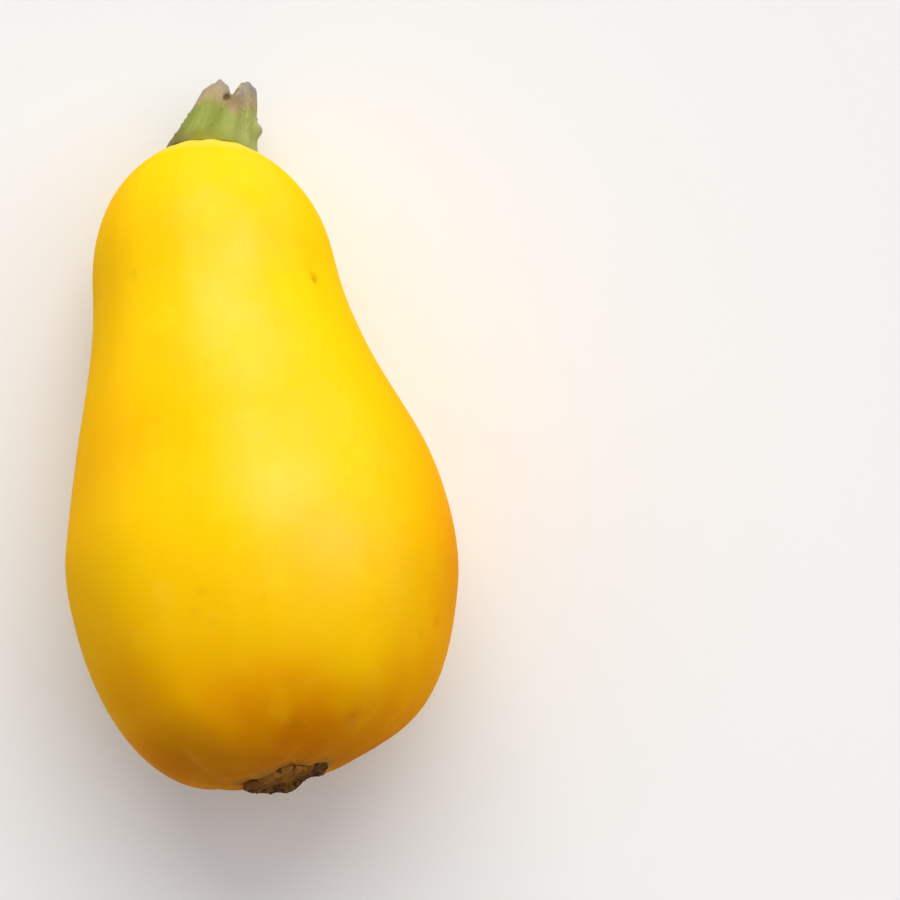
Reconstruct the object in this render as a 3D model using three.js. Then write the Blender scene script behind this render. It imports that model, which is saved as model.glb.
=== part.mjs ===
// A pear-shaped yellow summer squash, picked with a stub of its stem and lying on its side.
//
// It is three solids. The fruit is one body with a narrow neck and a full belly. The stem is a
// five-angled green stub that flares where it meets the shoulder and is torn off at its top, where
// two prongs stand round a hollow pith. The blossom scar is the dry, corky crust that the flower
// leaves at the far end.
//
// Units are millimetres. In the finished part +Z is up, +Y points from the blossom end to the stem
// end, and the origin is on the floor under the middle of the bounding box.
//
// The fruit is built round a growth line that runs from the stem end along -Y, in a frame of its
// own whose XY plane holds the line's bend. That frame is then tipped until neck and belly both
// touch the floor, as the real fruit lies.
import * as THREE from "three";
import { mergeVertices } from "three/addons/utils/BufferGeometryUtils.js";

const { clamp, degToRad, lerp, smoothstep } = THREE.MathUtils;
const FULL_TURN = 2 * Math.PI;

// --- Driving dimensions of the fruit -----------------------------------------------------------
const bodyLength = 151.3; // along the growth line, without stem and scar
const neckRadius = 28.4;
const bellyRadius = 46.5;
const waistStart = 29; // distance from the stem end where the neck begins to swell
const waistEnd = 108.5; // and where the belly has its full radius
const shoulderLength = 33.7; // the rounded end that carries the stem
const shoulderFullness = 2.05; // 2 is an ellipse, more is blunter
const blossomEndLength = 81.5; // the rounded end that carries the scar
const blossomEndFullness = 3;

const bendReach = 46; // each end bends over this length
const stemEndBend = degToRad(3.8);
const blossomEndBend = degToRad(7.2);
const bow = { depth: 1.2, at: 93, halfLength: 18 }; // where the belly stands out towards +X

const ribCount = 5; // main ribs, with a weaker one between each two
const ribTurn = degToRad(126); // where the first main rib stands, from +X towards up
const ribDepth = { shoulder: 0.25, middle: 0.2, blossomEnd: 0.85 };
const minorRibShare = 0.35;
const lumpDepth = 0.28; // slow unevenness round the body, so that no section is a true circle

const floorSink = 1.6; // how much of the lowest skin is pressed flat where the fruit rests
const floorSoftness = 0.4; // the flat patch meets the round skin over this height

// --- Driving dimensions of the stem -------------------------------------------------------------
const stemHeight = 14.3; // from the tip of the shoulder to the tips of the prongs
const stemBaseRadius = 10.4;
const stemTopRadius = 5.7;
const stemFoot = { flare: 0.3, height: 1.4 }; // a small spread where it meets the skin
const stemOffset = 2.2; // from the tip of the shoulder towards +X
const stemLean = { foot: degToRad(27), top: degToRad(15) }; // towards +X
const stemRibDepth = 0.09; // share of the radius
const stemKnot = { angle: degToRad(-8), height: 3, rise: 1.5, halfWidth: 1.4 }; // a bud scar
const pith = { radius: 1.9, depth: 6 };
// The torn top has lost a deep notch on its upper side, and a little on the left and below. That
// leaves a broad prong on the -X side and a slim one on the +X side.
const tears = [
  { at: degToRad(61), halfWidth: degToRad(15), depth: 4.2 },
  { at: degToRad(172), halfWidth: degToRad(30), depth: 1.2 },
  { at: degToRad(-80), halfWidth: degToRad(50), depth: 0.9 },
];

// --- Driving dimensions of the blossom scar -----------------------------------------------------
const scarRadius = 9.8;
const scarOffset = -4.2; // from the tip of the fruit, along X
const scarDimple = { depth: 1.3, radius: 11 }; // hollow of the skin that the scar sits in
const scarRimHeight = 2.1;
const scarBasinHeight = 1.1;
const scarNub = { radius: 1.7, height: 2.3 };

const seatGap = 0.35; // stem and scar stand this far off the skin, so that no two solids meet

// --- Fineness -----------------------------------------------------------------------------------
const bodySegments = 60;
const bodyRings = 40;
const trimSegments = 48;

// --- Growth line --------------------------------------------------------------------------------
function sideways(station) {
  const intoStemBend = Math.max(0, bendReach - station);
  const intoBlossomBend = Math.max(0, station - (bodyLength - bendReach));
  const bends =
    Math.tan(stemEndBend) * intoStemBend ** 2 +
    Math.tan(blossomEndBend) * intoBlossomBend ** 2;
  const fromBow = (station - bow.at) / bow.halfLength;
  return bends / (2 * bendReach) + bow.depth * Math.exp(-(fromBow ** 2));
}

function growthPoint(station) {
  return new THREE.Vector3(sideways(station), -station, 0);
}

// The angle from -Y to the growth line, positive towards +X.
function heading(station) {
  const step = 0.01;
  return Math.atan2(sideways(station + step) - sideways(station), step);
}

// --- Skin of the fruit --------------------------------------------------------------------------
// A rounded end as a share of the full radius: 0 at the tip, and 1 from the end's length on.
function roundEnd(share, fullness) {
  const toTip = 1 - clamp(share, 0, 1);
  return (1 - toTip ** fullness) ** (1 / fullness);
}

// How far the skin has fallen away from the tip at a radius, as a share of the end's length.
function endFall(radiusShare, fullness) {
  return 1 - (1 - radiusShare ** fullness) ** (1 / fullness);
}

function bodyRadius(station) {
  const swell = smoothstep(station, waistStart, waistEnd);
  const atShoulder = roundEnd(station / shoulderLength, shoulderFullness);
  const fromTip = bodyLength - station;
  const atBlossom = roundEnd(fromTip / blossomEndLength, blossomEndFullness);
  return lerp(neckRadius, bellyRadius, swell) * atShoulder * atBlossom;
}

// The half-outline as a curve of (station, radius), so that rings can be spaced evenly along it.
class HalfOutline extends THREE.Curve {
  getPoint(share, target = new THREE.Vector2()) {
    const station = (bodyLength * (1 - Math.cos(Math.PI * share))) / 2;
    return target.set(station, bodyRadius(station));
  }
}

function ribRelief(station, angle) {
  const share = station / bodyLength;
  const towardsShoulder = 1 - smoothstep(share, 0, 0.25);
  const towardsBlossom = smoothstep(share, 0.55, 0.92);
  const depth =
    ribDepth.middle +
    (ribDepth.shoulder - ribDepth.middle) * towardsShoulder +
    (ribDepth.blossomEnd - ribDepth.middle) * towardsBlossom;
  const turn = angle - ribTurn;
  return (
    depth *
    (Math.cos(ribCount * turn) + minorRibShare * Math.cos(2 * ribCount * turn))
  );
}

function lumpRelief(station, angle) {
  const along = station / bodyLength;
  return (
    lumpDepth *
    (0.6 * Math.cos(2 * angle + 3 * along) +
      0.4 * Math.cos(3 * angle - 5 * along + 1))
  );
}

// Depth of the hollow round the scar, at a place across the blossom end.
function dimpleDepth(across, up) {
  const fromScar = Math.hypot(across - scarOffset, up);
  return scarDimple.depth * Math.exp(-((fromScar / scarDimple.radius) ** 2));
}

// A point of the skin in the growth frame. The angle runs from +X towards up.
function skinPoint(station, angle) {
  const round = bodyRadius(station);
  const reliefShare = clamp(round / neckRadius, 0, 1) ** 1.5; // fades to nothing at both tips
  const relief = ribRelief(station, angle) + lumpRelief(station, angle);
  const radius = round + reliefShare * relief;
  const across = radius * Math.cos(angle);
  const up = radius * Math.sin(angle);
  const dimple = station > bodyLength / 2 ? dimpleDepth(across, up) : 0;
  const turn = heading(station);
  const outwards = new THREE.Vector3(Math.cos(turn), Math.sin(turn), 0);
  const onwards = new THREE.Vector3(Math.sin(turn), -Math.cos(turn), 0);
  return growthPoint(station)
    .addScaledVector(outwards, across)
    .addScaledVector(onwards, -dimple)
    .setZ(up);
}

// --- How the fruit lies -------------------------------------------------------------------------
// Height of the lowest skin between two stations when the growth frame is tipped stem end down.
function lowestSkin(tilt, fromStation, toStation) {
  const samples = 60;
  const eastward = new THREE.Vector3(1, 0, 0);
  let lowest = Infinity;
  for (let i = 0; i <= samples; i++) {
    const station = lerp(fromStation, toStation, i / samples);
    for (const degrees of [-100, -95, -90, -85, -80]) {
      const skin = skinPoint(station, degToRad(degrees));
      skin.applyAxisAngle(eastward, -tilt);
      lowest = Math.min(lowest, skin.z);
    }
  }
  return lowest;
}

// The tilt at which neck and belly are level underneath, found by halving.
function findRestTilt() {
  const waist = bodyLength / 3;
  let low = 0;
  let high = degToRad(30);
  for (let i = 0; i < 30; i++) {
    const tilt = (low + high) / 2;
    const neckIsHigher =
      lowestSkin(tilt, 0, waist) > lowestSkin(tilt, waist, bodyLength);
    if (neckIsHigher) low = tilt;
    else high = tilt;
  }
  return (low + high) / 2;
}

const restTilt = findRestTilt();
const restLift = -lowestSkin(restTilt, 0, bodyLength) - floorSink;

// Everything grows in this group, tipped stem end down and lifted to stand on the floor.
const lying = new THREE.Group();
lying.rotation.x = -restTilt;
lying.position.z = restLift;
lying.updateMatrix();
const toFloorFrame = lying.matrix.clone();
const fromFloorFrame = toFloorFrame.clone().invert();

// Skin below the floor is pressed flat on it, with a soft edge.
function pressedHeight(height) {
  if (height >= floorSoftness) return height;
  if (height <= -floorSoftness) return 0;
  return (height + floorSoftness) ** 2 / (4 * floorSoftness);
}

function restOnFloor(point) {
  point.applyMatrix4(toFloorFrame);
  point.z = pressedHeight(point.z);
  return point.applyMatrix4(fromFloorFrame);
}

// --- Making closed solids -----------------------------------------------------------------------
// Moves the vertices of a sphere: pointAt(row, angle) places each, row 0 being its +Y pole and the
// last row its -Y pole. The angle runs from +X towards +Z.
function mouldedSphere(segments, rows, pointAt) {
  const sphere = new THREE.SphereGeometry(1, segments, rows);
  const position = sphere.getAttribute("position");
  for (let i = 0; i < position.count; i++) {
    const row = Math.floor(i / (segments + 1));
    const column = i % (segments + 1) % segments;
    const angle = Math.PI - (FULL_TURN * column) / segments;
    const point = pointAt(row, angle);
    position.setXYZ(i, point.x, point.y, point.z);
  }
  sphere.deleteAttribute("normal");
  sphere.deleteAttribute("uv");
  const closed = mergeVertices(sphere, 1e-4);
  closed.computeVertexNormals();
  return closed;
}

// The same for a piece given as rows of { radius, height }, each a function of the angle.
// The first and the last row are poles. The middle of each row may lie off the axis.
function mouldedRows(segments, rows, middleAt) {
  return mouldedSphere(segments, rows.length - 1, (row, angle) => {
    const radius = rows[row].radius(angle);
    const height = rows[row].height(angle);
    return new THREE.Vector3(
      radius * Math.cos(angle) + middleAt(height),
      height,
      radius * Math.sin(angle),
    );
  });
}

function mesh(name, geometry, material) {
  const made = new THREE.Mesh(geometry, material);
  made.name = name;
  return made;
}

// --- Fruit --------------------------------------------------------------------------------------
function makeFruit() {
  const outline = new HalfOutline();
  outline.arcLengthDivisions = 2000;
  const rings = outline.getSpacedPoints(bodyRings);
  const geometry = mouldedSphere(bodySegments, bodyRings, (row, angle) =>
    restOnFloor(skinPoint(rings[row].x, angle)),
  );
  const skin = new THREE.MeshStandardMaterial({
    color: 0xf6c414,
    roughness: 0.38,
    metalness: 0,
  });
  return mesh("fruit", geometry, skin);
}

// --- Stem ---------------------------------------------------------------------------------------
// The angle between two directions round the stem, at most half a turn.
function apart(angle, other) {
  return Math.acos(Math.cos(angle - other));
}

// Built with +Y outwards from the tip of the shoulder, at height 0.
function makeStem() {
  const ribbed = (angle) => {
    const turn = ribCount * (angle - ribTurn);
    return 1 + stemRibDepth * (0.65 * Math.cos(turn) + 0.35 * Math.cos(2 * turn));
  };
  const rimHeight = (angle) =>
    tears.reduce(
      (height, { at, halfWidth, depth }) =>
        height - depth * Math.exp(-((apart(angle, at) / halfWidth) ** 2)),
      stemHeight,
    );
  const seatHeight = (radius, angle) => {
    const fromTip = Math.hypot(
      radius * Math.cos(angle) + stemOffset,
      radius * Math.sin(angle),
    );
    const fall = endFall(fromTip / neckRadius, shoulderFullness);
    return seatGap - shoulderLength * fall;
  };
  const wallRadius = (angle, height) => {
    const above = Math.max(0, height);
    const straight = lerp(stemBaseRadius, stemTopRadius, above / stemHeight);
    const flare = stemFoot.flare * Math.exp(-above / stemFoot.height);
    const fromKnot = Math.hypot(
      straight * apart(angle, stemKnot.angle),
      height - stemKnot.height,
    );
    const knot =
      stemKnot.rise * Math.exp(-((fromKnot / stemKnot.halfWidth) ** 2));
    return ribbed(angle) * (straight + flare) + knot;
  };
  const footHeight = (angle) =>
    seatHeight(stemBaseRadius + stemFoot.flare, angle) + 0.6;
  const rows = [];
  const row = (radius, height) => rows.push({ radius, height });

  // Hollow pith, from its floor up to its lip.
  const pithFloor = stemHeight - pith.depth;
  row(() => 0, () => pithFloor);
  row(() => pith.radius * 0.7, () => pithFloor);
  row(() => pith.radius, (angle) => lerp(pithFloor, rimHeight(angle), 0.55));
  // Torn face, from the lip out to the rim.
  row(
    (angle) => lerp(pith.radius, stemTopRadius, 0.3) * ribbed(angle),
    (angle) => rimHeight(angle) - 0.7,
  );
  row(
    (angle) => lerp(pith.radius, stemTopRadius, 0.7) * ribbed(angle),
    rimHeight,
  );
  // Ribbed wall, from the rim down to the foot.
  const wallRows = 11;
  for (let i = 0; i <= wallRows; i++) {
    const height = (angle) =>
      lerp(rimHeight(angle) - 0.5, footHeight(angle), i / wallRows);
    row((angle) => wallRadius(angle, height(angle)), height);
  }
  // Underside, hugging the shoulder.
  for (const share of [0.98, 0.7, 0.35]) {
    const radius = (angle) => share * wallRadius(angle, footHeight(angle));
    row(radius, (angle) => seatHeight(radius(angle), angle));
  }
  row(() => 0, () => seatHeight(0, 0));

  const middleAt = (height) => {
    const above = Math.max(0, height);
    const footSlope = Math.tan(stemLean.foot);
    const topSlope = Math.tan(stemLean.top);
    const slope = lerp(footSlope, topSlope, above / stemHeight / 2);
    return stemOffset + above * slope;
  };
  const bark = new THREE.MeshStandardMaterial({
    color: 0x9aa54e,
    roughness: 0.7,
    metalness: 0,
  });
  const stem = mesh("stem", mouldedRows(trimSegments, rows, middleAt), bark);
  const atStemEnd = new THREE.Group();
  atStemEnd.position.copy(growthPoint(0));
  atStemEnd.rotation.z = heading(0);
  atStemEnd.add(stem);
  return atStemEnd;
}

// --- Blossom scar -------------------------------------------------------------------------------
// Built with -Y outwards from the tip of the blossom end, at depth 0.
function makeBlossomScar() {
  const lobes = (angle) =>
    1 +
    0.07 * Math.cos(ribCount * (angle + ribTurn)) +
    0.05 * Math.cos(3 * angle + 0.8);
  const seatHeight = (radius, angle) => {
    const across = radius * Math.cos(angle) + scarOffset;
    const up = radius * Math.sin(angle);
    const fromTip = Math.hypot(across, up);
    const fall = endFall(fromTip / bellyRadius, blossomEndFullness);
    return seatGap - blossomEndLength * fall - dimpleDepth(across, up);
  };
  const floor = -scarDimple.depth;
  const rimTop = (angle) =>
    floor + scarRimHeight * (1 + 0.18 * Math.cos(ribCount * angle + 2));
  const rows = [];
  const row = (radius, height) => rows.push({ radius, height });

  // Underside, hugging the skin.
  row(() => 0, () => seatHeight(0, 0));
  for (const share of [0.35, 0.7, 0.98]) {
    const radius = (angle) => scarRadius * share * lobes(angle);
    row(radius, (angle) => seatHeight(radius(angle), angle));
  }
  // Raised rim of the crust.
  row(
    (angle) => scarRadius * lobes(angle),
    (angle) => rimTop(angle) - 0.8,
  );
  row((angle) => scarRadius * 0.86 * lobes(angle), rimTop);
  row(
    (angle) => scarRadius * 0.72 * lobes(angle),
    (angle) => rimTop(angle) - 0.3,
  );
  // Stump of the style, standing in a shallow basin.
  row(() => scarRadius * 0.52, () => floor + scarBasinHeight);
  row(() => scarNub.radius * 1.3, () => floor + scarBasinHeight);
  row(() => scarNub.radius, () => floor + scarNub.height - 0.3);
  row(() => 0, () => floor + scarNub.height);

  const outward = rows.map(({ radius, height }) => ({
    radius,
    height: (angle) => -height(angle),
  }));
  const crust = new THREE.MeshStandardMaterial({
    color: 0x6e4a22,
    roughness: 0.9,
    metalness: 0,
  });
  const geometry = mouldedRows(trimSegments, outward, () => scarOffset);
  const scar = mesh("blossom_scar", geometry, crust);
  const atBlossomEnd = new THREE.Group();
  atBlossomEnd.position.copy(growthPoint(bodyLength));
  atBlossomEnd.rotation.z = heading(bodyLength);
  atBlossomEnd.add(scar);
  return atBlossomEnd;
}

// --- Assembly -----------------------------------------------------------------------------------
lying.add(makeFruit(), makeStem(), makeBlossomScar());

// The origin goes under the middle of the bounding box.
const squash = new THREE.Group();
squash.add(lying);
const box = new THREE.Box3().setFromObject(squash, true);
const middle = box.getCenter(new THREE.Vector3());
lying.position.x -= middle.x;
lying.position.y -= middle.y;

export default squash;
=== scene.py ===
"""A yellow summer squash as it looks: waxy skin, torn green stem stub and corky blossom scar,
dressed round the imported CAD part. Lengths are in metres, +Z is up, the stem points to +Y."""

import math

import bmesh
import bpy
import numpy as np
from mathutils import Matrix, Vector, noise
from mathutils.bvhtree import BVHTree


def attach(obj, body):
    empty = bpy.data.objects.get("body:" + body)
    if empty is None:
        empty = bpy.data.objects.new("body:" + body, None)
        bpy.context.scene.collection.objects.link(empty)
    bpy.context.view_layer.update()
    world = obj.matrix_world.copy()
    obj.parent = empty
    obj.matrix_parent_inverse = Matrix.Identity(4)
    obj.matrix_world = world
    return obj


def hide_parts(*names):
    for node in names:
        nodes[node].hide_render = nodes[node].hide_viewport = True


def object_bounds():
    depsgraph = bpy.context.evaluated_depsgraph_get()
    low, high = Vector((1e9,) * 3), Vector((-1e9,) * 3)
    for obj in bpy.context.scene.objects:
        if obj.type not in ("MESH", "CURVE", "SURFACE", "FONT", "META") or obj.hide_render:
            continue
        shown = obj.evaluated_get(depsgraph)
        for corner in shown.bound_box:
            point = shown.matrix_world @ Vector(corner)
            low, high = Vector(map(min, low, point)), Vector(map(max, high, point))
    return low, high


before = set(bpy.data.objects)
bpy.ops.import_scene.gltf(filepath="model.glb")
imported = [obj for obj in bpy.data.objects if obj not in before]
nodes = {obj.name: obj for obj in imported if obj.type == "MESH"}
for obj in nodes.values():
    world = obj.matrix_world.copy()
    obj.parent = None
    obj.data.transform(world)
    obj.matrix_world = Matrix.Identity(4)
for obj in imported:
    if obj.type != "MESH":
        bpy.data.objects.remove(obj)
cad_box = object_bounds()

MM = 0.001


# --- Small helpers ---
def linear(*srgb):
    """A colour given as sRGB values up to 255, as Blender's linear RGBA."""
    level = np.array(srgb) / 255
    rgb = np.where(level <= 0.04045, level / 12.92, ((level + 0.055) / 1.055) ** 2.4)
    return (*rgb.tolist(), 1.0)


def smoothstep(low, high, value):
    t = np.clip((value - low) / (high - low), 0, 1)
    return t * t * (3 - 2 * t)


def bell(value, width):
    return np.exp(-((value / width) ** 2))


def unit(vectors):
    vectors = np.asarray(vectors, float)
    return vectors / np.linalg.norm(vectors, axis=-1, keepdims=True)


def apart(angle, degrees):
    """How far each angle is from one direction, in degrees."""
    return np.abs((np.degrees(angle) - degrees + 180) % 360 - 180)


def on_circle(angle, third=0.0):
    """Each angle's place on a unit circle, with a third number after it."""
    return np.stack([np.cos(angle), np.sin(angle), np.broadcast_to(third, angle.shape)], 1)


def soft_noise(points, size, seed, octaves=1):
    """Noise from about -1 to 1 at each point, with lumps of about that size."""
    shift = Vector((7.1 * seed, -3.7 * seed, 5.3 * seed))
    total = np.zeros(len(points))
    for octave in range(octaves):
        scale = 2**octave / size
        layer = [noise.noise(Vector(p) * scale + shift) for p in points]
        total += np.array(layer) / 2**octave
    return total


# --- Meshes ---
WELD = 0.001 * MM  # corners of a CAD mesh that are closer than this are one
PAIRING = math.radians(70)  # the largest bend and skew of two triangles that make a quad
ROUNDING_LEVELS = 3


def link(name, data):
    made = bpy.data.objects.new(name, data)
    bpy.context.scene.collection.objects.link(made)
    return made


def rounded_copy(node):
    """The mesh of a CAD node, its triangles paired into quads and finely rounded."""
    bm = bmesh.new()
    bm.from_mesh(node.data)
    bmesh.ops.remove_doubles(bm, verts=bm.verts, dist=WELD)
    bmesh.ops.join_triangles(
        bm, faces=bm.faces, angle_face_threshold=PAIRING, angle_shape_threshold=PAIRING
    )
    bm.verts.index_update()
    cage = bpy.data.meshes.new("cage")
    cage.from_pydata(
        [v.co[:] for v in bm.verts], [], [[v.index for v in f.verts] for f in bm.faces]
    )
    bm.free()
    holder = link("cage", cage)
    rounding = holder.modifiers.new("rounding", "SUBSURF")
    rounding.levels = rounding.render_levels = ROUNDING_LEVELS
    seen = holder.evaluated_get(bpy.context.evaluated_depsgraph_get())
    fine = bpy.data.meshes.new_from_object(seen)
    bpy.data.objects.remove(holder)
    bpy.data.meshes.remove(cage)
    return fine


def read_vectors(items, field):
    flat = np.empty(3 * len(items), np.float32)
    items.foreach_get(field, flat)
    return flat.reshape(-1, 3).astype(float)


def vertices_of(mesh):
    return read_vectors(mesh.vertices, "co")


def normals_of(mesh):
    return read_vectors(mesh.vertex_normals, "vector")


def move_vertices(mesh, places):
    mesh.vertices.foreach_set("co", places.astype(np.float32).ravel())
    mesh.update()


def tree_of(mesh):
    return BVHTree.FromPolygons(
        [v.co for v in mesh.vertices], [p.vertices[:] for p in mesh.polygons]
    )


def distance_to(tree, points):
    return np.array([tree.find_nearest(Vector(p))[3] for p in points])


def give(mesh, name, values):
    """Stores one number, or one vector, for each vertex, for the material to read."""
    values = np.asarray(values, np.float32)
    kind, field = ("FLOAT", "value") if values.ndim == 1 else ("FLOAT_VECTOR", "vector")
    layer = mesh.attributes.new(name, kind, "POINT")
    layer.data.foreach_set(field, values.ravel())


def finish_piece(name, mesh, material, node):
    mesh.name = name
    mesh.materials.clear()
    mesh.materials.append(material)
    mesh.shade_smooth()
    piece = link(name, mesh)
    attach(piece, "root")
    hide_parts(node)


# --- Materials ---
class Nodes:
    """Short ways to add nodes to a tree. Values may be sockets or plain numbers."""

    def __init__(self, tree):
        self.tree = tree

    def put(self, socket, value):
        if isinstance(value, bpy.types.NodeSocket):
            self.tree.links.new(value, socket)
        else:
            socket.default_value = value

    def node(self, kind, settings=None, **inputs):
        made = self.tree.nodes.new(kind)
        for name, value in (settings or {}).items():
            setattr(made, name, value)
        for name, value in inputs.items():
            self.put(made.inputs[name.replace("_", " ")], value)
        return made

    def attribute(self, name, output="Fac"):
        return self.node("ShaderNodeAttribute", {"attribute_name": name}).outputs[output]

    def place(self):
        return self.node("ShaderNodeTexCoord").outputs["Object"]

    def math(self, operation, a, b):
        made = self.node("ShaderNodeMath", {"operation": operation})
        self.put(made.inputs[0], a)
        self.put(made.inputs[1], b)
        return made.outputs["Value"]

    def plus(self, a, b):
        return self.math("ADD", a, b)

    def times(self, a, b):
        return self.math("MULTIPLY", a, b)

    def vector_math(self, operation, a, b, output):
        made = self.node("ShaderNodeVectorMath", {"operation": operation})
        self.put(made.inputs[0], a)
        self.put(made.inputs[1], b)
        return made.outputs[output]

    def stretched(self, vector, x, y, z):
        return self.vector_math("MULTIPLY", vector, (x, y, z), "Vector")

    def ramp(self, value, low, high, start=0.0, end=1.0):
        """Goes smoothly from start to end while the value goes from low to high."""
        made = self.node(
            "ShaderNodeMapRange",
            {"interpolation_type": "SMOOTHSTEP"},
            Value=value,
            From_Min=low,
            From_Max=high,
            To_Min=start,
            To_Max=end,
        )
        return made.outputs["Result"]

    def swing(self, grain, size):
        """A noise as a number from minus to plus that size."""
        return self.ramp(grain, 0.3, 0.7, -size, size)

    def noise(self, vector, scale, detail=2.0, roughness=0.5):
        made = self.node(
            "ShaderNodeTexNoise",
            Vector=vector,
            Scale=scale,
            Detail=detail,
            Roughness=roughness,
        )
        return made.outputs["Fac"]

    def cells(self, vector, scale):
        return self.node("ShaderNodeTexVoronoi", Vector=vector, Scale=scale).outputs["Distance"]

    def mix(self, share, a, b):
        """Mixes two colours. Sockets 6 and 7 are the colours' own A and B, output 2 theirs."""
        made = self.node("ShaderNodeMix", {"data_type": "RGBA"})
        self.put(made.inputs[0], share)
        self.put(made.inputs[6], a)
        self.put(made.inputs[7], b)
        return made.outputs[2]

    def gradient(self, value, stops):
        """Colours at places from 0 to 1, smoothly joined."""
        made = self.node("ShaderNodeValToRGB", Fac=value)
        made.color_ramp.interpolation = "B_SPLINE"
        elements = made.color_ramp.elements
        while len(elements) < len(stops):
            elements.new(0.5)
        for element, (place, colour) in zip(elements, stops):
            element.position = place
            element.color = colour
        return made.outputs["Color"]

    def bump(self, height, distance, strength, under=None):
        made = self.node("ShaderNodeBump", Height=height, Distance=distance, Strength=strength)
        if under is not None:
            self.put(made.inputs["Normal"], under)
        return made.outputs["Normal"]


class Shader(Nodes):
    """A Principled material and its nodes."""

    def __init__(self, name):
        self.material = bpy.data.materials.new(name)
        self.material.use_nodes = True
        super().__init__(self.material.node_tree)
        self.surface = self.tree.nodes["Principled BSDF"]

    def set(self, **values):
        for name, value in values.items():
            self.put(self.surface.inputs[name.replace("_", " ")], value)


# --- Where the three pieces meet ---
fruit_tree = tree_of(rounded_copy(nodes["fruit"]))
stem_tree = tree_of(nodes["stem"].data)
scar_tree = tree_of(nodes["blossom_scar"].data)
SEATED = 0.6 * MM  # how near to the skin the foot of a piece is


def seat_centre(node):
    """The point of the skin under the middle of a piece that sits on it."""
    corners = vertices_of(node.data)
    near = corners[distance_to(fruit_tree, corners) < SEATED]
    return np.array(fruit_tree.find_nearest(Vector(near.mean(0)))[0])


stem_seat = seat_centre(nodes["stem"])
scar_seat = seat_centre(nodes["blossom_scar"])
# Three directions at right angles: from scar to stem, towards -X, and upwards.
lengthwise = unit(stem_seat - scar_seat)
sideways = unit(np.cross((0, 0, 1.0), lengthwise))
upwards = np.cross(lengthwise, sideways)


def round_the_length(angle):
    """The direction of each angle about the length: 0 points to -X, a quarter turn is the top."""
    return np.cos(angle)[:, None] * sideways + np.sin(angle)[:, None] * upwards


# --- The skin's grid ---
COLUMNS = 320
SHOULDER_DEPTH = 30 * MM  # from the stem to the middle of the shoulder's fan of rows
BLOSSOM_DEPTH = 50 * MM  # the same at the scar
# Rows of the skin's grid: (from, to, rows), as degrees in the two ends' fans and as shares of the
# straight part between them. They are closest round the stem and the scar.
SHOULDER_ROWS = [(0, 15, 6), (15, 32, 24), (32, 90, 38)]
WAIST_ROWS = [(0, 1, 84)]
BLOSSOM_ROWS = [(90, 22, 76), (22, 6, 34), (6, 0, 5)]
RAY_REACH = 0.2


def spaced(parts):
    return np.concatenate(
        [np.linspace(start, end, count, endpoint=False) for start, end, count in parts]
    )


def skin_grid():
    """Points of the skin on a grid of rows from stem to scar, and each column's angle."""
    shoulder = stem_seat - SHOULDER_DEPTH * lengthwise
    blossom = scar_seat + BLOSSOM_DEPTH * lengthwise
    angles = np.linspace(0, 2 * math.pi, COLUMNS, endpoint=False)
    outwards = round_the_length(angles)

    def fan(centre, end, rows):
        pole = unit(end - centre)
        for turn in map(math.radians, rows):
            yield centre, math.cos(turn) * pole + math.sin(turn) * outwards

    rays = [
        *fan(shoulder, stem_seat, spaced(SHOULDER_ROWS)[1:]),
        *[(shoulder + at * (blossom - shoulder), outwards) for at in spaced(WAIST_ROWS)],
        *fan(blossom, scar_seat, spaced(BLOSSOM_ROWS)),
    ]
    rows = [
        [
            fruit_tree.ray_cast(Vector(start), Vector(way).normalized(), RAY_REACH)[0][:]
            for way in directions
        ]
        for start, directions in rays
    ]
    return np.array(rows), angles


def closed_grid(rows, first, last):
    """A closed mesh from rows of points and a point beyond each end."""
    count, columns = rows.shape[:2]
    corners = np.vstack([[first], rows.reshape(-1, 3), [last]])
    this = np.arange(columns)
    after = (this + 1) % columns
    row = 1 + columns * np.arange(count - 1)[:, None]
    next_row = row + columns
    quads = [row + this, next_row + this, next_row + after, row + after]
    faces = np.stack(quads, axis=-1).reshape(-1, 4).tolist()
    end = len(corners) - 1
    last_row = end - columns
    faces += [[0, 1 + a, 1 + b] for a, b in zip(this, after)]
    faces += [[end, last_row + b, last_row + a] for a, b in zip(this, after)]
    mesh = bpy.data.meshes.new("grid")
    mesh.from_pydata(corners.tolist(), [], faces)
    return mesh


def skin_coordinates(rows, angles):
    """Each corner's share of the way from stem to scar, and its angle."""
    steps = np.linalg.norm(np.diff(rows.mean(1), axis=0), axis=1)
    way = np.concatenate([[0], np.cumsum(steps)])
    share = np.concatenate([[0], np.repeat(way / way[-1], COLUMNS), [1]])
    angle = np.concatenate([[0], np.tile(angles, len(rows)), [0]])
    return share, angle


# --- The skin's relief ---
AGAINST = 0.4 * MM  # skin this near to the stem or the scar is against it
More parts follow.
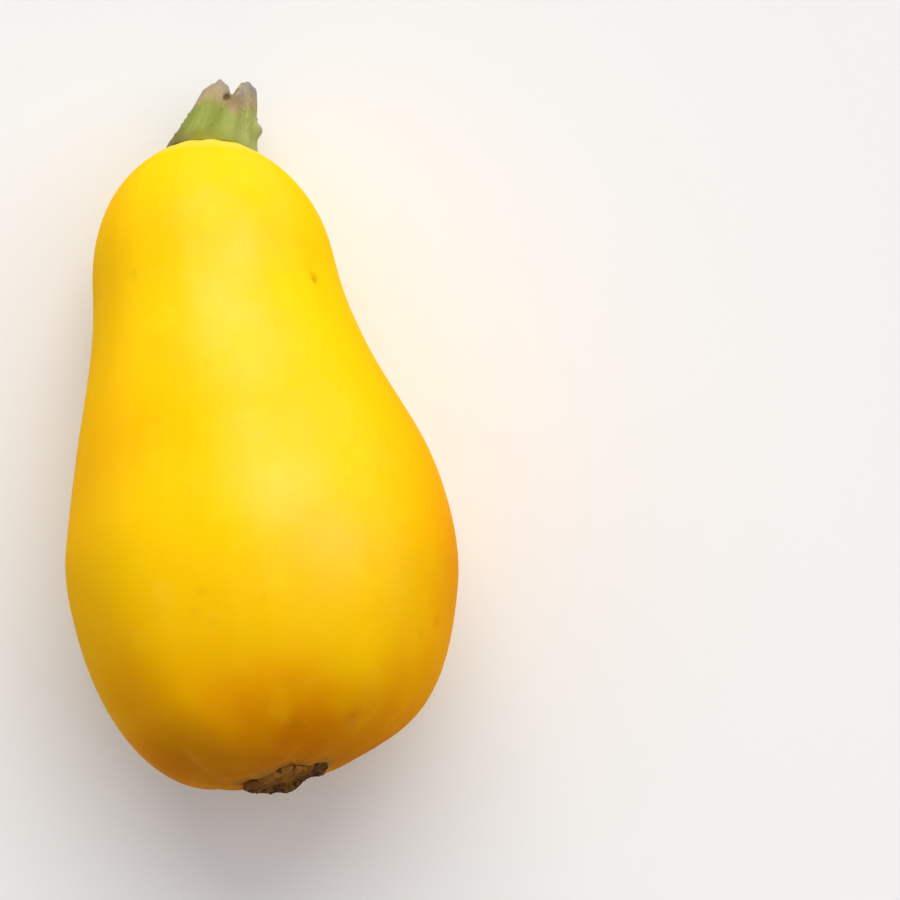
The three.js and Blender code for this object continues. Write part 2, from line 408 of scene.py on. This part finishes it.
# Folds of the skin round the scar. Each runs through places given as (angle in degrees, distance
# from the scar in millimetres), and has a half width and a rise in millimetres.
FOLDS = [
    ([(60, 30), (65, 23.5), (76, 14)], 3.2, 0.17),
    ([(46, 19), (40, 11.6), (33, 6)], 1.7, 0.4),
    ([(33, 6), (53, 2.9), (76, 1.6), (94, 5.8), (101, 10)], 1.3, 0.35),
    ([(37, 18), (36, 12.5)], 3.8, -0.25),
    ([(58, 14.5), (70, 10.5), (83, 6.6)], 3.0, -0.28),
    ([(99, 27), (100, 17), (97, 12)], 2.4, -0.2),
    ([(127, 30), (131, 14)], 4.0, 0.2),
    ([(150, 26), (149, 8)], 2.8, -0.15),
    ([(172, 22), (170, 6)], 2.6, 0.15),
    ([(-160, 24), (-155, 7)], 2.4, -0.4),
    ([(-128, 27), (-124, 6)], 3.0, 0.4),
    ([(-96, 22), (-92, 6)], 2.2, -0.45),
    ([(-62, 25), (-58, 7)], 2.8, 0.45),
    ([(-30, 20), (-26, 6)], 2.4, -0.4),
    ([(4, 22), (8, 7)], 2.2, 0.35),
]
# Places where the lip of the skin stands over the edge of the scar: (angle and half width in
# degrees, rise in millimetres).
LIPS = [(61, 17, 0.8), (131, 11, 0.6), (-140, 16, 0.5), (-40, 14, 0.5)]
# A tongue of scab on the skin, in degrees and millimetres.
TONGUE = {"angle": 100, "half_width": 10.0, "length": 4.6}
PER_DEGREE = 0.35  # a degree off a place counts as this many millimetres


def skin_places(places, points, angle, to_scar):
    """The points of the skin at places given as (angle in degrees, millimetres to the scar)."""
    found = []
    for degrees, distance in places:
        off = apart(angle, degrees) * PER_DEGREE + np.abs(to_scar / MM - distance)
        found.append(points[np.argmin(off)])
    return found


def distance_to_line(points, line):
    nearest = np.full(len(points), np.inf)
    for start, end in zip(line, line[1:]):
        way = end - start
        share = np.clip((points - start) @ way / (way @ way), 0, 1)
        gap = np.linalg.norm(points - start - share[:, None] * way, axis=1)
        nearest = np.minimum(nearest, gap)
    return nearest


def fruit_relief(points, angle, to_stem, to_scar):
    """How far the skin stands out from the smooth form, and the folds' part of it."""
    # Low lumps, and fainter small ones.
    relief = 0.16 * MM * soft_noise(points, 26 * MM, seed=1, octaves=2)
    relief += 0.03 * MM * soft_noise(points, 7 * MM, seed=2, octaves=2)

    # The skin swells to meet the stem and ruffles a little round it.
    past_stem = np.maximum(to_stem - AGAINST, 0)
    waver = soft_noise(points, 5 * MM, seed=3)
    relief += 0.36 * MM * bell(past_stem, 0.9 * MM)
    relief += 0.35 * MM * bell(past_stem - 2.2 * MM, 1.6 * MM) * (0.7 + 0.5 * waver)
    ruffle = np.cos(11 * angle + 1.5 * waver)
    relief += 0.13 * MM * ruffle * bell(past_stem - 1.5 * MM, 3.5 * MM)

    # It puckers towards the scar.
    past_scar = np.maximum(to_scar - AGAINST, 0)
    relief += 0.38 * MM * bell(past_scar, 1.0 * MM)
    waver = soft_noise(points, 9 * MM, seed=4)
    puckers = 0.6 * np.cos(9 * angle + 2.2 * waver) + 0.4 * np.cos(14 * angle - 2 * waver + 1)
    relief += 0.1 * MM * puckers * bell(past_scar, 9 * MM)
    folds = np.zeros(len(points))
    for places, half_width, rise in FOLDS:
        line = skin_places(places, points, angle, to_scar)
        folds += rise * MM * bell(distance_to_line(points, line), half_width * MM)
    for degrees, half_width, rise in LIPS:
        folds += rise * MM * bell(apart(angle, degrees), half_width) * bell(past_scar, 2 * MM)
    relief += folds

    # Under the scar it lies lower.
    under = smoothstep(9.0 * MM, 7.6 * MM, np.linalg.norm(points - scar_seat, axis=1))
    return relief - under * (np.maximum(relief, 0) + 0.7 * MM), folds


# --- What the skin's material reads ---
# Soft spots: (strength, angle and half width in degrees, share of the way and half length).
# The first table is orange on the skin: partly its own blush, partly painted shade and painted
# reflected light on the flanks.
BLUSH_AND_SHADE_SPOTS = [
    (0.2, 172, 24, 0.6, 0.16),
    (0.3, 215, 30, 0.62, 0.3),
    (0.42, 14, 38, 0.64, 0.26),
    (0.35, 45, 32, 0.9, 0.12),
    (0.2, 20, 30, 0.2, 0.2),
    (0.2, 60, 38, 0.5, 0.1),
    (0.28, 170, 28, 0.42, 0.16),
    (0.12, 118, 32, 0.53, 0.13),
]
WAX_SPOTS = [
    (-0.25, 88, 16, 0.45, 0.05),
    (0.7, 111, 15, 0.605, 0.07),
    (0.9, 123, 12, 0.72, 0.06),
]
WAX_BASE = 0.016
WAX_BAND = 0.08
WAX_LOST = 0.011  # on the +X flank
QUARTER = 90  # degrees that count as much as the whole length, in finding the place of a mark
# Marks on the skin: (share of the way from the stem, angle, radius in mm, colour, strength).
MARKS = [
    (0.271, 140.6, 1.9, (200, 162, 4), 0.8),
    (0.274, 139.4, 1.0, (150, 116, 10), 0.5),
    (0.820, 162.0, 2.2, (226, 140, 10), 0.3),
    (0.844, 151.9, 1.8, (228, 146, 10), 0.25),
    (0.952, 127.1, 2.7, (208, 104, 6), 0.3),
    (0.958, 128.5, 1.3, (246, 178, 50), 0.25),
    (0.963, 100.1, 2.4, (204, 110, 6), 0.28),
    (0.768, 75.4, 1.5, (230, 156, 14), 0.2),
    (0.810, 77.6, 1.5, (230, 156, 14), 0.16),
    (0.786, 93.4, 1.2, (228, 156, 14), 0.2),
    (0.791, 72.0, 1.5, (232, 160, 14), 0.15),
    (0.758, 64.1, 3.6, (255, 214, 60), 0.16),
    (0.243, 51.7, 1.5, (226, 176, 20), 0.35),
    (0.293, 108.0, 1.5, (240, 190, 20), 0.3),
    (0.44, -152, 1.2, (160, 126, 40), 0.6),
    (0.63, -35, 1.6, (206, 140, 30), 0.5),
    (0.70, -120, 2.2, (214, 150, 40), 0.4),
    (0.36, -70, 1.0, (156, 124, 40), 0.6),
    (0.86, -75, 1.8, (204, 120, 24), 0.5),
]


def spots(table, angle, share):
    """The sum of a table's soft spots at each point."""
    total = np.zeros(len(angle))
    for strength, degrees, half_width, at, half_length in table:
        across = bell(apart(angle, degrees), half_width)
        total += strength * across * bell(share - at, half_length)
    return total


def blush_and_shade_of(points, angle, share):
    """Where the skin is more orange: partly its own blush, partly painted shade and painted
    reflected orange light. A wide patch on the +X flank with a soft edge, and spots.
    """
    drift = 0.06 * soft_noise(points, 30 * MM, seed=8, octaves=2)
    # The +X flank patch is painted shade and painted reflected orange light.
    flank = (0.8 + 2 * drift) * bell(apart(angle, 180), 33) * bell(share - 0.74 + drift, 0.19)
    return flank + spots(BLUSH_AND_SHADE_SPOTS, angle, share)


def wax_of(angle, share):
    """The weight of the wax: a band along the top, which turns and narrows over the belly."""
    belly = smoothstep(0.35, 0.6, share)
    turned = np.degrees(angle) - 20 * belly
    limit = 140 - 11 * belly + 12 * smoothstep(0.26, 0.12, share)
    band = smoothstep(58, 96, turned) * smoothstep(0, 26, limit - turned)
    band = (band + spots(WAX_SPOTS, angle, share)) * smoothstep(0.94, 0.68, share)
    return WAX_BAND * band + WAX_BASE - WAX_LOST * bell(apart(angle, 178), 36)


def mark_points(points, angle, share):
    """The point of the skin under each mark."""
    return [
        points[np.argmin(apart(angle, degrees) / QUARTER + np.abs(share - at))]
        for at, degrees, *_ in MARKS
    ]


def make_fruit():
    rows, angles = skin_grid()
    mesh = closed_grid(rows, stem_seat, scar_seat)
    points, normals = vertices_of(mesh), normals_of(mesh)
    share, angle = skin_coordinates(rows, angles)
    to_stem = distance_to(stem_tree, points)
    to_scar = distance_to(scar_tree, points)

    relief, folds = fruit_relief(points, angle, to_stem, to_scar)
    beside = apart(angle, TONGUE["angle"]) / TONGUE["half_width"]
    scab = smoothstep(1.3, 0.4, beside + to_scar / (TONGUE["length"] * MM))
    relief += 0.25 * MM * scab
    points += normals * relief[:, None]
    points[:, 2] = np.maximum(points[:, 2], 0)
    move_vertices(mesh, points)

    facing_down = np.clip(-normals[:, 2], 0, 1)
    uneven = 0.12 * soft_noise(points, 14 * MM, seed=5, octaves=2)
    ground = smoothstep(0.45, 0.95, facing_down + uneven)
    ahead = 0.02 * bell(apart(angle, 148), 28) * smoothstep(0.8, 0.9, share)
    give(mesh, "growth", on_circle(angle, share))
    give(mesh, "along", share - ahead)
    # Darker brown near the blossom end on the -X side: partly the skin's own tone, partly painted
    # shade.
    give(mesh, "brown_and_shade", bell(apart(angle, 40), 32) * smoothstep(0.9, 0.97, share))
    give(mesh, "to_stem", to_stem / MM)
    give(mesh, "to_scar", to_scar / MM)
    give(mesh, "ground", ground)
    give(mesh, "folds", folds / MM)
    give(mesh, "scab", scab)
    give(mesh, "blush_and_shade", blush_and_shade_of(points, angle, share))
    give(mesh, "wax", wax_of(angle, share))
    skin = fruit_material(mark_points(points, angle, share))
    finish_piece("fruit_skin", mesh, skin, "fruit")


def fruit_material(marked):
    skin = Shader("squash_skin")
    place = skin.place()
    growth = skin.attribute("growth", "Vector")
    along = skin.attribute("along")
    to_stem = skin.attribute("to_stem")
    to_scar = skin.attribute("to_scar")

    # Lemon at the neck, golden on the belly, orange towards the blossom end. The deepest
    # orange-brown at the blossom end is partly the skin's own tone and partly painted shade.
    cloud = skin.noise(place, 38)
    colour = skin.gradient(
        skin.plus(along, skin.swing(cloud, 0.03)),
        [
            (0.0, linear(254, 198, 8)),
            (0.3, linear(255, 204, 8)),
            (0.47, linear(255, 199, 7)),
            (0.62, linear(255, 206, 6)),
            (0.76, linear(255, 202, 4)),
            (0.86, linear(255, 196, 2)),
            (0.94, linear(253, 164, 1)),
            (1.0, linear(228, 126, 1)),
        ],
    )
    # Streaks that run from stem to blossom end, and soft mottling.
    streaks = skin.noise(skin.stretched(growth, 9, 9, 2.0), 1.0)
    fade = skin.ramp(along, 0.8, 0.95, 0.12, 0.05)
    for end, tint in ((0.8, linear(255, 222, 30)), (0.2, linear(248, 180, 2))):
        colour = skin.mix(skin.times(skin.ramp(streaks, 0.5, end), fade), colour, tint)
    mottle = skin.noise(place, 140, 3, 0.6)
    patches = skin.noise(place, 62)
    colour = skin.mix(skin.ramp(mottle, 0.5, 0.75, 0, 0.16), colour, linear(255, 226, 40))
    colour = skin.mix(skin.ramp(patches, 0.45, 0.7, 0, 0.16), colour, linear(250, 184, 2))
    # Orange blush, partly painted shade and painted reflected light on the flanks.
    blush_and_shade = skin.times(skin.attribute("blush_and_shade"), 0.75)
    colour = skin.mix(blush_and_shade, colour, linear(250, 140, 1))
    # Darker brown near the blossom end on the -X side: partly the skin's own tone, partly painted
    # shade.
    brown_and_shade = skin.times(skin.attribute("brown_and_shade"), 0.4)
    colour = skin.mix(brown_and_shade, colour, linear(186, 112, 10))

    # Tiny pale dots.
    faint = skin.ramp(skin.noise(place, 60, 1), 0.4, 0.65, 0, 0.08)
    dot = skin.times(skin.ramp(skin.cells(place, 420), 0.16, 0.07), faint)
    colour = skin.mix(dot, colour, linear(255, 238, 130))

    # Paler where it lay on the ground.
    ground = skin.times(skin.attribute("ground"), 0.6)
    colour = skin.mix(ground, colour, linear(250, 224, 112))

    # Greenish against the stem, brown against the scar.
    colour = skin.mix(skin.ramp(to_stem, 8, 0.8, 0, 0.6), colour, linear(240, 212, 96))
    colour = skin.mix(skin.ramp(to_stem, 2.4, 0.4, 0, 0.75), colour, linear(196, 190, 52))
    colour = skin.mix(skin.ramp(to_scar, 15, 1, 0, 0.5), colour, linear(206, 124, 6))
    # Paler on the folds' crests and darker in their hollows: painted light and painted shade.
    folds = skin.attribute("folds")
    colour = skin.mix(skin.ramp(folds, 0.1, 0.5, 0, 0.22), colour, linear(232, 176, 70))
    colour = skin.mix(skin.ramp(folds, 0.0, -0.8, 0, 0.4), colour, linear(168, 96, 6))
    tan_edge = skin.plus(to_scar, skin.swing(mottle, 0.9))
    colour = skin.mix(skin.ramp(tan_edge, 3.0, 0.6, 0, 0.75), colour, linear(178, 122, 46))
    scab = skin.plus(skin.attribute("scab"), skin.swing(mottle, 0.3))
    colour = skin.mix(skin.ramp(scab, 0.35, 0.75), colour, linear(150, 97, 28))

    # Small marks with uneven edges.
    wander = skin.swing(skin.noise(place, 430), 0.22)
    for point, (_, _, radius, tint, strength) in zip(marked, MARKS):
        away = skin.vector_math("DISTANCE", place, Vector(point), "Value")
        off = skin.plus(skin.math("DIVIDE", away, radius * MM), wander)
        colour = skin.mix(skin.ramp(off, 1.3, 0.1, 0, strength), colour, linear(*tint))

    # The wax comes in clouds.
    clouds = skin.ramp(skin.noise(place, 55, 3), 0.3, 0.65, 0.4, 1)
    wax = skin.times(skin.attribute("wax"), clouds)

    wrinkles = skin.noise(skin.stretched(growth, 12, 12, 8), 1.0)
    normal = skin.bump(skin.times(wrinkles, skin.ramp(to_scar, 14, 1)), 0.5 * MM, 0.6)
    normal = skin.bump(skin.noise(place, 330), 0.09 * MM, 0.5, normal)
    normal = skin.bump(skin.noise(place, 1500, 2, 0.6), 0.03 * MM, 0.5, normal)
    skin.set(
        Base_Color=colour,
        Roughness=skin.ramp(skin.noise(place, 90, 3), 0.3, 0.7, 0.33, 0.43),
        Normal=normal,
        Subsurface_Weight=0.1,
        Subsurface_Radius=(1.0, 0.5, 0.05),
        Subsurface_Scale=3 * MM,
        Specular_IOR_Level=0.0,
        Coat_Weight=wax,
        Coat_Roughness=0.29,
        Coat_IOR=3.0,
        Coat_Normal=normal,
        Sheen_Weight=0.04,
        Sheen_Roughness=0.25,
    )
    return skin.material


# --- Stem ---
MIDDLE_LEVELS = np.arange(1.0, 12.5, 0.5) * MM  # heights at which the stem's middle is found
RIM_BINS = 120
# What the tear left of the rim: (angle, half width, lift) in degrees and millimetres.
RIM_SHAPES = [
    (101, 9, 0.5),
    (85, 6, -0.6),
    (126, 12, -0.45),
    (51, 6, -0.7),
    (39, 8, -0.9),
    (4, 20, 0.5),
    (-72, 30, -0.8),
]
KNOT = {"angle": -9, "height": 3.3, "rise": 0.8, "width": 1.6}
BORE = {"angle": 74.5, "height": 9.5, "depth": 1.0, "width": 1.0}  # an insect's hole
# Painted shade below the hole, a darker brown patch.
BORE_SHADE = {"angle": 64, "height": 8.2, "width": 2.7}  # the brown below it
RIBS, RIB_TURN = 9, math.radians(66)
PRICKLES = 70
PRICKLE_SEED = 7


def stem_frame(points):
    """Each point's angle, radius and height about the stem's curved middle, and what turns them
    back into points. Angle 0 points to +X and a quarter turn is the top."""
    away = points - stem_seat
    height = away @ lengthwise
    sides = np.stack([away @ -sideways, away @ upwards], 1)
    middles = []
    for level in MIDDLE_LEVELS:
        ring = sides[np.abs(height - level) < 0.4 * MM]
        middles.append((ring.min(0) + ring.max(0)) / 2)
    curve = np.polyfit(MIDDLE_LEVELS, np.array(middles), 2)

    def middle(h):
        return h[:, None] ** 2 * curve[0] + h[:, None] * curve[1] + curve[2]

    off = sides - middle(height)
    angle = np.arctan2(off[:, 1], off[:, 0])
    radius = np.hypot(off[:, 0], off[:, 1])

    def rebuilt(angle, radius, height):
        side = on_circle(angle)[:, :2] * radius[:, None] + middle(height)
        risen = stem_seat + height[:, None] * lengthwise
        return risen - side[:, :1] * sideways + side[:, 1:] * upwards

    return angle, radius, height, rebuilt


def rim_of(angle, height):
    """The torn rim's height at each point's angle, read from the rounded solid."""
    place = (angle / (2 * math.pi)) % 1 * RIM_BINS
    rim = np.full(RIM_BINS, -1.0)
    np.maximum.at(rim, place.astype(int) % RIM_BINS, height)
    rim = (np.roll(rim, 1) + 2 * rim + np.roll(rim, -1)) / 4
    return np.interp(place - 0.5, np.arange(RIM_BINS), rim, period=RIM_BINS)


def prickles(angle, radius, height):
    """How far the prickles stand out of the wall."""
    rng = np.random.default_rng(PRICKLE_SEED)
    rise = np.zeros(len(angle))
    for _ in range(PRICKLES):
        at, level = rng.uniform(-180, 180), rng.uniform(1.5, 9) * MM
        size = rng.uniform(0.22, 0.36) * MM
        off = np.hypot(radius * np.radians(apart(angle, at)), height - level)
        rise = np.maximum(rise, size * bell(off, size))
    return rise


def make_stem():
    mesh = rounded_copy(nodes["stem"])
    points, normals = vertices_of(mesh), normals_of(mesh)
    angle, radius, height, rebuilt = stem_frame(points)
    rim = rim_of(angle, height)
    outwards = (rebuilt(angle, radius + MM, height) - points) / MM
    outer = smoothstep(0.0, 0.5, np.sum(normals * outwards, 1))
    on_ring = on_circle(angle)
    to_skin = distance_to(fruit_tree, points)

    # Ribs, fibres and prickles on the wall, which smooth out at the foot.
    wall = outer * smoothstep(0.2 * MM, 1.6 * MM, to_skin)
    waver = soft_noise(points, 6 * MM, seed=21)
    rib = 0.5 + 0.5 * np.cos(RIBS * (angle - RIB_TURN) + 0.8 * waver)
    strands = on_ring * 7 * MM + 0.12 * height[:, None] * (0, 0, 1)
    grown = 0.3 * MM * (rib - 0.5)
    grown += 0.12 * MM * soft_noise(strands, 1.1 * MM, seed=22, octaves=2)
    grown += 0.05 * MM * soft_noise(strands, 0.42 * MM, seed=23)
    radius = radius + wall * (grown + prickles(angle, radius, height))

    # The knot, the hole, and the slim prong that leans outwards.
    def from_place(at):
        across = radius * np.radians(apart(angle, at["angle"]))
        return np.hypot(across, height - at["height"] * MM)

    knot = np.exp(-((from_place(KNOT) / (KNOT["width"] * MM)) ** 3))
    radius += outer * KNOT["rise"] * MM * knot
    bore = outer * bell(from_place(BORE), BORE["width"] * MM)
    radius -= BORE["depth"] * MM * bore
    lean = bell(apart(angle, -10), 34) * smoothstep(3 * MM, 11 * MM, height)
    radius += 0.55 * MM * lean

    # The torn rim.
    near_rim = smoothstep(4.5 * MM, 0.4 * MM, rim - height)
    lift = np.zeros(len(points))
    for degrees, half_width, rise in RIM_SHAPES:
        lift += rise * MM * bell(apart(angle, degrees), half_width)
    teeth = soft_noise(on_ring * 5 * MM, 1.3 * MM, seed=31)
    teeth += 0.7 * soft_noise(on_ring * 5 * MM, 0.55 * MM, seed=32)
    ragged = soft_noise(points, 0.9 * MM, seed=33, octaves=2)
    height = height + near_rim * (lift + 0.55 * MM * teeth)
    height += near_rim**2 * (1 - outer) * 0.35 * MM * ragged
    radius += near_rim * 0.16 * MM * soft_noise(points, 1.6 * MM, seed=34)

    # The foot settles into the skin.
    foot = bell(np.maximum(to_skin - 0.35 * MM, 0), 0.8 * MM)
    height -= 0.4 * MM * foot
    radius += 0.25 * MM * foot * outer
    move_vertices(mesh, rebuilt(angle, np.maximum(radius, 0), height))

    give(mesh, "below_rim", (rim + lift - height) / MM)
    give(mesh, "to_skin", to_skin / MM)
    give(mesh, "rib", rib)
    give(mesh, "torn", 1 - outer)
    give(mesh, "bore", bore)
    give(mesh, "bore_shade", outer * bell(from_place(BORE_SHADE), BORE_SHADE["width"] * MM))
    give(mesh, "depth", smoothstep(3.4 * MM, 1.6 * MM, radius) * (1 - outer))
    give(mesh, "side", np.cos(angle))
    give(mesh, "knot", knot)
    give(mesh, "round", on_circle(angle, height / (20 * MM)))
    finish_piece("stem_stub", mesh, stem_material(), "stem")


def stem_material():
    bark = Shader("stem_bark")
    place = bark.place()
    around = bark.attribute("round", "Vector")
    below_rim = bark.attribute("below_rim")
    side = bark.attribute("side")
    fibres = bark.noise(bark.stretched(around, 16, 16, 2.4), 1.0, 4, 0.65)
    blotch = bark.noise(place, 300, 3, 0.6)

    # Green wall: olive grooves, lighter ribs, fine fibres, and painted light that makes it lighter
    # towards +X.
    green = bark.gradient(
        bark.plus(bark.attribute("rib"), bark.swing(fibres, 0.3)),
        [
            (0.0, linear(128, 135, 48)),
            (0.45, linear(134, 144, 52)),
            (1.0, linear(146, 154, 66)),
        ],
    )
    green = bark.mix(bark.ramp(blotch, 0.5, 0.75, 0, 0.4), green, linear(118, 122, 56))
    green = bark.mix(bark.ramp(side, 0.2, 0.9, 0, 0.7), green, linear(170, 176, 96))

    # Dried towards the tear: olive, tan, then greyish brown at the very tips.
    edge = bark.plus(below_rim, bark.plus(bark.swing(fibres, 1.3), bark.times(side, -1.2)))
    dry = bark.gradient(
        bark.times(bark.plus(edge, 1.0), 1 / 10),
        [
            (0.08, linear(146, 138, 124)),
            (0.22, linear(154, 142, 120)),
            (0.36, linear(170, 147, 115)),
            (0.6, linear(168, 150, 96)),
            (0.85, linear(154, 152, 78)),
        ],
    )
    dry = bark.mix(bark.ramp(blotch, 0.55, 0.75, 0, 0.5), dry, linear(140, 112, 78))
    colour = bark.mix(bark.ramp(edge, 7.6, 4.2), green, dry)

    # Pale, stringy tissue inside the tear. The dark colour in the hollow and the hole is painted
    # shade.
    inner = bark.mix(bark.ramp(fibres, 0.35, 0.65), linear(150, 128, 86), linear(196, 178, 134))
    torn = bark.times(bark.attribute("torn"), bark.ramp(below_rim, 9, 6))
    colour = bark.mix(torn, colour, inner)
    colour = bark.mix(bark.attribute("depth"), colour, linear(84, 64, 34))
    # Painted shade below the hole.
    bore_shade = bark.times(bark.attribute("bore_shade"), 0.7)
    colour = bark.mix(bore_shade, colour, linear(126, 104, 50))
    bore = bark.ramp(bark.attribute("bore"), 0.12, 0.8)
    colour = bark.mix(bore, colour, linear(104, 82, 40))
    knot = bark.times(bark.attribute("knot"), 0.85)
    colour = bark.mix(knot, colour, linear(164, 160, 122))

    # Brownish where it joins the skin. On the -X side the band is darker and reaches higher:
    # painted shade.
    foot = bark.plus(bark.attribute("to_skin"), bark.swing(fibres, 0.5))
    foot = bark.plus(foot, bark.times(side, 2.0))
    shaded_side = bark.ramp(side, 0.0, -0.5)
    brown_and_shade = bark.mix(shaded_side, linear(142, 138, 32), linear(118, 108, 46))
    colour = bark.mix(bark.ramp(foot, 4.0, 0.7, 0, 0.85), colour, brown_and_shade)

    normal = bark.bump(fibres, 0.16 * MM, 0.8)
    bark.set(
        Base_Color=colour,
        Roughness=bark.ramp(blotch, 0.3, 0.7, 0.55, 0.75),
        Normal=bark.bump(bark.noise(place, 1700), 0.05 * MM, 0.6, normal),
        Specular_IOR_Level=0.25,
    )
    return bark.material


# --- Blossom scar ---
SCAR_RADIUS = 9.8 * MM
# Lumps of the crust: (angle, share of the radius, half width and rise in millimetres).
LUMPS = [
    (-96, 0.78, 2.6, 1.3),
    (-78, 0.9, 1.5, 0.6),
    (-58, 0.9, 1.9, 0.8),
    (-70, 0.8, 0.9, -0.5),
    (20, 0.75, 2.2, 0.5),
    (165, 0.7, 2.6, 0.5),
    (90, 0.3, 2.4, -0.3),
    (-20, 0.35, 2.0, 0.4),
]


def make_scar():
    """The crust. Its angles run as the skin's do."""
    mesh = rounded_copy(nodes["blossom_scar"])
    points, normals = vertices_of(mesh), normals_of(mesh)
    away = points - scar_seat
    across, rise = away @ sideways, away @ upwards
    angle = np.arctan2(rise, across)
    share = np.hypot(across, rise) / SCAR_RADIUS
    outer = smoothstep(0.1, 0.6, normals @ -lengthwise)
    edge = smoothstep(0.62, 1.0, share)
    on_ring = on_circle(angle)

    # A ragged outline, with radial cracks and flakes that curl outwards.
    teeth = soft_noise(on_ring * 8 * MM, 2.6 * MM, seed=41)
    teeth += 0.6 * soft_noise(on_ring * 8 * MM, 1.0 * MM, seed=42)
    wider = 0.75 * MM * edge * teeth
    wider += 1.4 * MM * edge * bell(apart(angle, TONGUE["angle"]), 12)
    radii = on_ring * 9 * MM + points * 0.18
    cracks = soft_noise(radii, 1.1 * MM, seed=43, octaves=2)
    cracks *= smoothstep(0.3, 0.7, share)
    crust = soft_noise(points, 1.4 * MM, seed=44, octaves=3)
    flakes = outer * (0.35 * MM * crust + 0.45 * MM * np.minimum(cracks, 0.15))
    for degrees, at, half_width, lump in LUMPS:
        turn = math.radians(degrees)
        middle = at * SCAR_RADIUS * np.array((math.cos(turn), math.sin(turn)))
        off = np.hypot(across - middle[0], rise - middle[1])
        flakes += outer * lump * MM * bell(off, half_width * MM)
    points += wider[:, None] * round_the_length(angle) - flakes[:, None] * lengthwise
    move_vertices(mesh, points)

    give(mesh, "share", share)
    give(mesh, "crack", cracks)
    give(mesh, "crust", crust)
    give(mesh, "middle", bell(apart(angle, 92), 62))
    finish_piece("scar_crust", mesh, scar_material(), "blossom_scar")


def scar_material():
    cork = Shader("scar_cork")
    grain = cork.noise(cork.place(), 900, 4, 0.65)
    crust = cork.ramp(cork.attribute("crust"), -0.7, 0.7, 0.0, 0.8)
    colour = cork.gradient(
        cork.plus(crust, cork.swing(grain, 0.2)),
        [
            (0.1, linear(70, 40, 12)),
            (0.5, linear(102, 61, 19)),
            (0.85, linear(148, 100, 42)),
        ],
    )
    inside = cork.ramp(cork.attribute("share"), 0.75, 0.4, 0, 0.6)
    colour = cork.mix(inside, colour, linear(154, 100, 28))
    middle = cork.times(cork.attribute("middle"), 0.85)
    colour = cork.mix(middle, colour, linear(176, 113, 32))
    crack = cork.ramp(cork.attribute("crack"), -0.15, -0.5, 0, 0.8)
    colour = cork.mix(crack, colour, linear(44, 25, 10))
    cork.set(
        Base_Color=colour,
        Roughness=cork.ramp(grain, 0.3, 0.7, 0.75, 0.95),
        Normal=cork.bump(grain, 0.12 * MM, 0.8),
        Specular_IOR_Level=0.12,
    )
    return cork.material


# --- Stage ---
VIEW_ROLL = math.radians(-9.77)
VIEW_HEIGHT = 0.827  # of the camera over the floor
VIEW_ANGLE = math.radians(15)
VIEW_OFFSET = (46.9 * MM, -12.63 * MM)  # from the middle of the part to the middle of the view
view_right = np.array((math.cos(VIEW_ROLL), math.sin(VIEW_ROLL), 0))
view_up = np.array((-math.sin(VIEW_ROLL), math.cos(VIEW_ROLL), 0))
# Each lamp's name, strength, spread in degrees, and the direction to it: rightwards and upwards in
# the view, and height.
SUNS = [("key", 1.82, 52, (0.06, 0.77, 0.635)), ("window", 0.6, 60, (0.5, 0.2, 0.84))]
SUN_COLOUR = (1.0, 0.985, 0.945)
SKY_COLOUR = (0.95, 0.97, 1.14, 1)
SKY_TILT = (0.88, 0.46)  # upwards in the view, and height, of the sky's brightest side
SKY_RANGE = (-0.46, 1.18)  # how far towards that side the sky is darkest and brightest
SKY_STRENGTH = (0.08, 0.92)  # there
BACKDROP = linear(248, 244, 236)
FLOOR_COLOUR = linear(244, 243, 236)
FLOOR_HALF = 4.0


def make_camera():
    middle = (cad_box[0] + cad_box[1]) / 2
    lens = bpy.data.cameras.new("camera")
    lens.sensor_width = 36
    lens.lens = lens.sensor_width / 2 / math.tan(VIEW_ANGLE / 2)
    camera = link("camera", lens)
    camera.location = (middle.x + VIEW_OFFSET[0], middle.y + VIEW_OFFSET[1], VIEW_HEIGHT)
    camera.rotation_euler = (0, 0, VIEW_ROLL)
    bpy.context.scene.camera = camera


def make_suns():
    for name, strength, spread, (rightwards, up_view, height) in SUNS:
        lamp = bpy.data.lights.new(name, "SUN")
        lamp.energy = strength
        lamp.angle = math.radians(spread)
        lamp.color = SUN_COLOUR
        towards = rightwards * view_right + up_view * view_up + (0, 0, height)
        link(name, lamp).rotation_euler = Vector(towards).to_track_quat("Z", "Y").to_euler()


def make_world():
    """Soft light from all sides, stronger from the top of the view. It is pale to the camera."""
    world = bpy.data.worlds.new("world")
    bpy.context.scene.world = world
    world.use_nodes = True
    world.node_tree.nodes.clear()
    sky = Nodes(world.node_tree)
    direction = sky.node("ShaderNodeTexCoord").outputs["Generated"]
    towards = SKY_TILT[0] * view_up + (0, 0, SKY_TILT[1])
    facing = sky.vector_math("DOT_PRODUCT", direction, tuple(towards), "Value")
    strength = sky.ramp(facing, *SKY_RANGE, *SKY_STRENGTH)
    light = sky.node("ShaderNodeBackground", Color=SKY_COLOUR, Strength=strength)
    pale = sky.node("ShaderNodeBackground", Color=BACKDROP)
    chosen = sky.node("ShaderNodeMixShader")
    sky.put(chosen.inputs[0], sky.node("ShaderNodeLightPath").outputs["Is Camera Ray"])
    sky.put(chosen.inputs[1], light.outputs["Background"])
    sky.put(chosen.inputs[2], pale.outputs["Background"])
    sky.node("ShaderNodeOutputWorld", Surface=chosen.outputs["Shader"])


def make_floor():
    mesh = bpy.data.meshes.new("floor")
    signs = [(-1, -1), (1, -1), (1, 1), (-1, 1)]
    corners = [(x * FLOOR_HALF, y * FLOOR_HALF, 0) for x, y in signs]
    mesh.from_pydata(corners, [], [range(4)])
    floor = link("floor", mesh)
    paper = Shader("floor_paper")
    paper.set(Base_Color=FLOOR_COLOUR, Roughness=0.9, Specular_IOR_Level=0.0)
    mesh.materials.append(paper.material)


make_fruit()
make_stem()
make_scar()
make_camera()
make_world()
make_suns()
make_floor()
bpy.context.scene.view_settings.view_transform = "Standard"
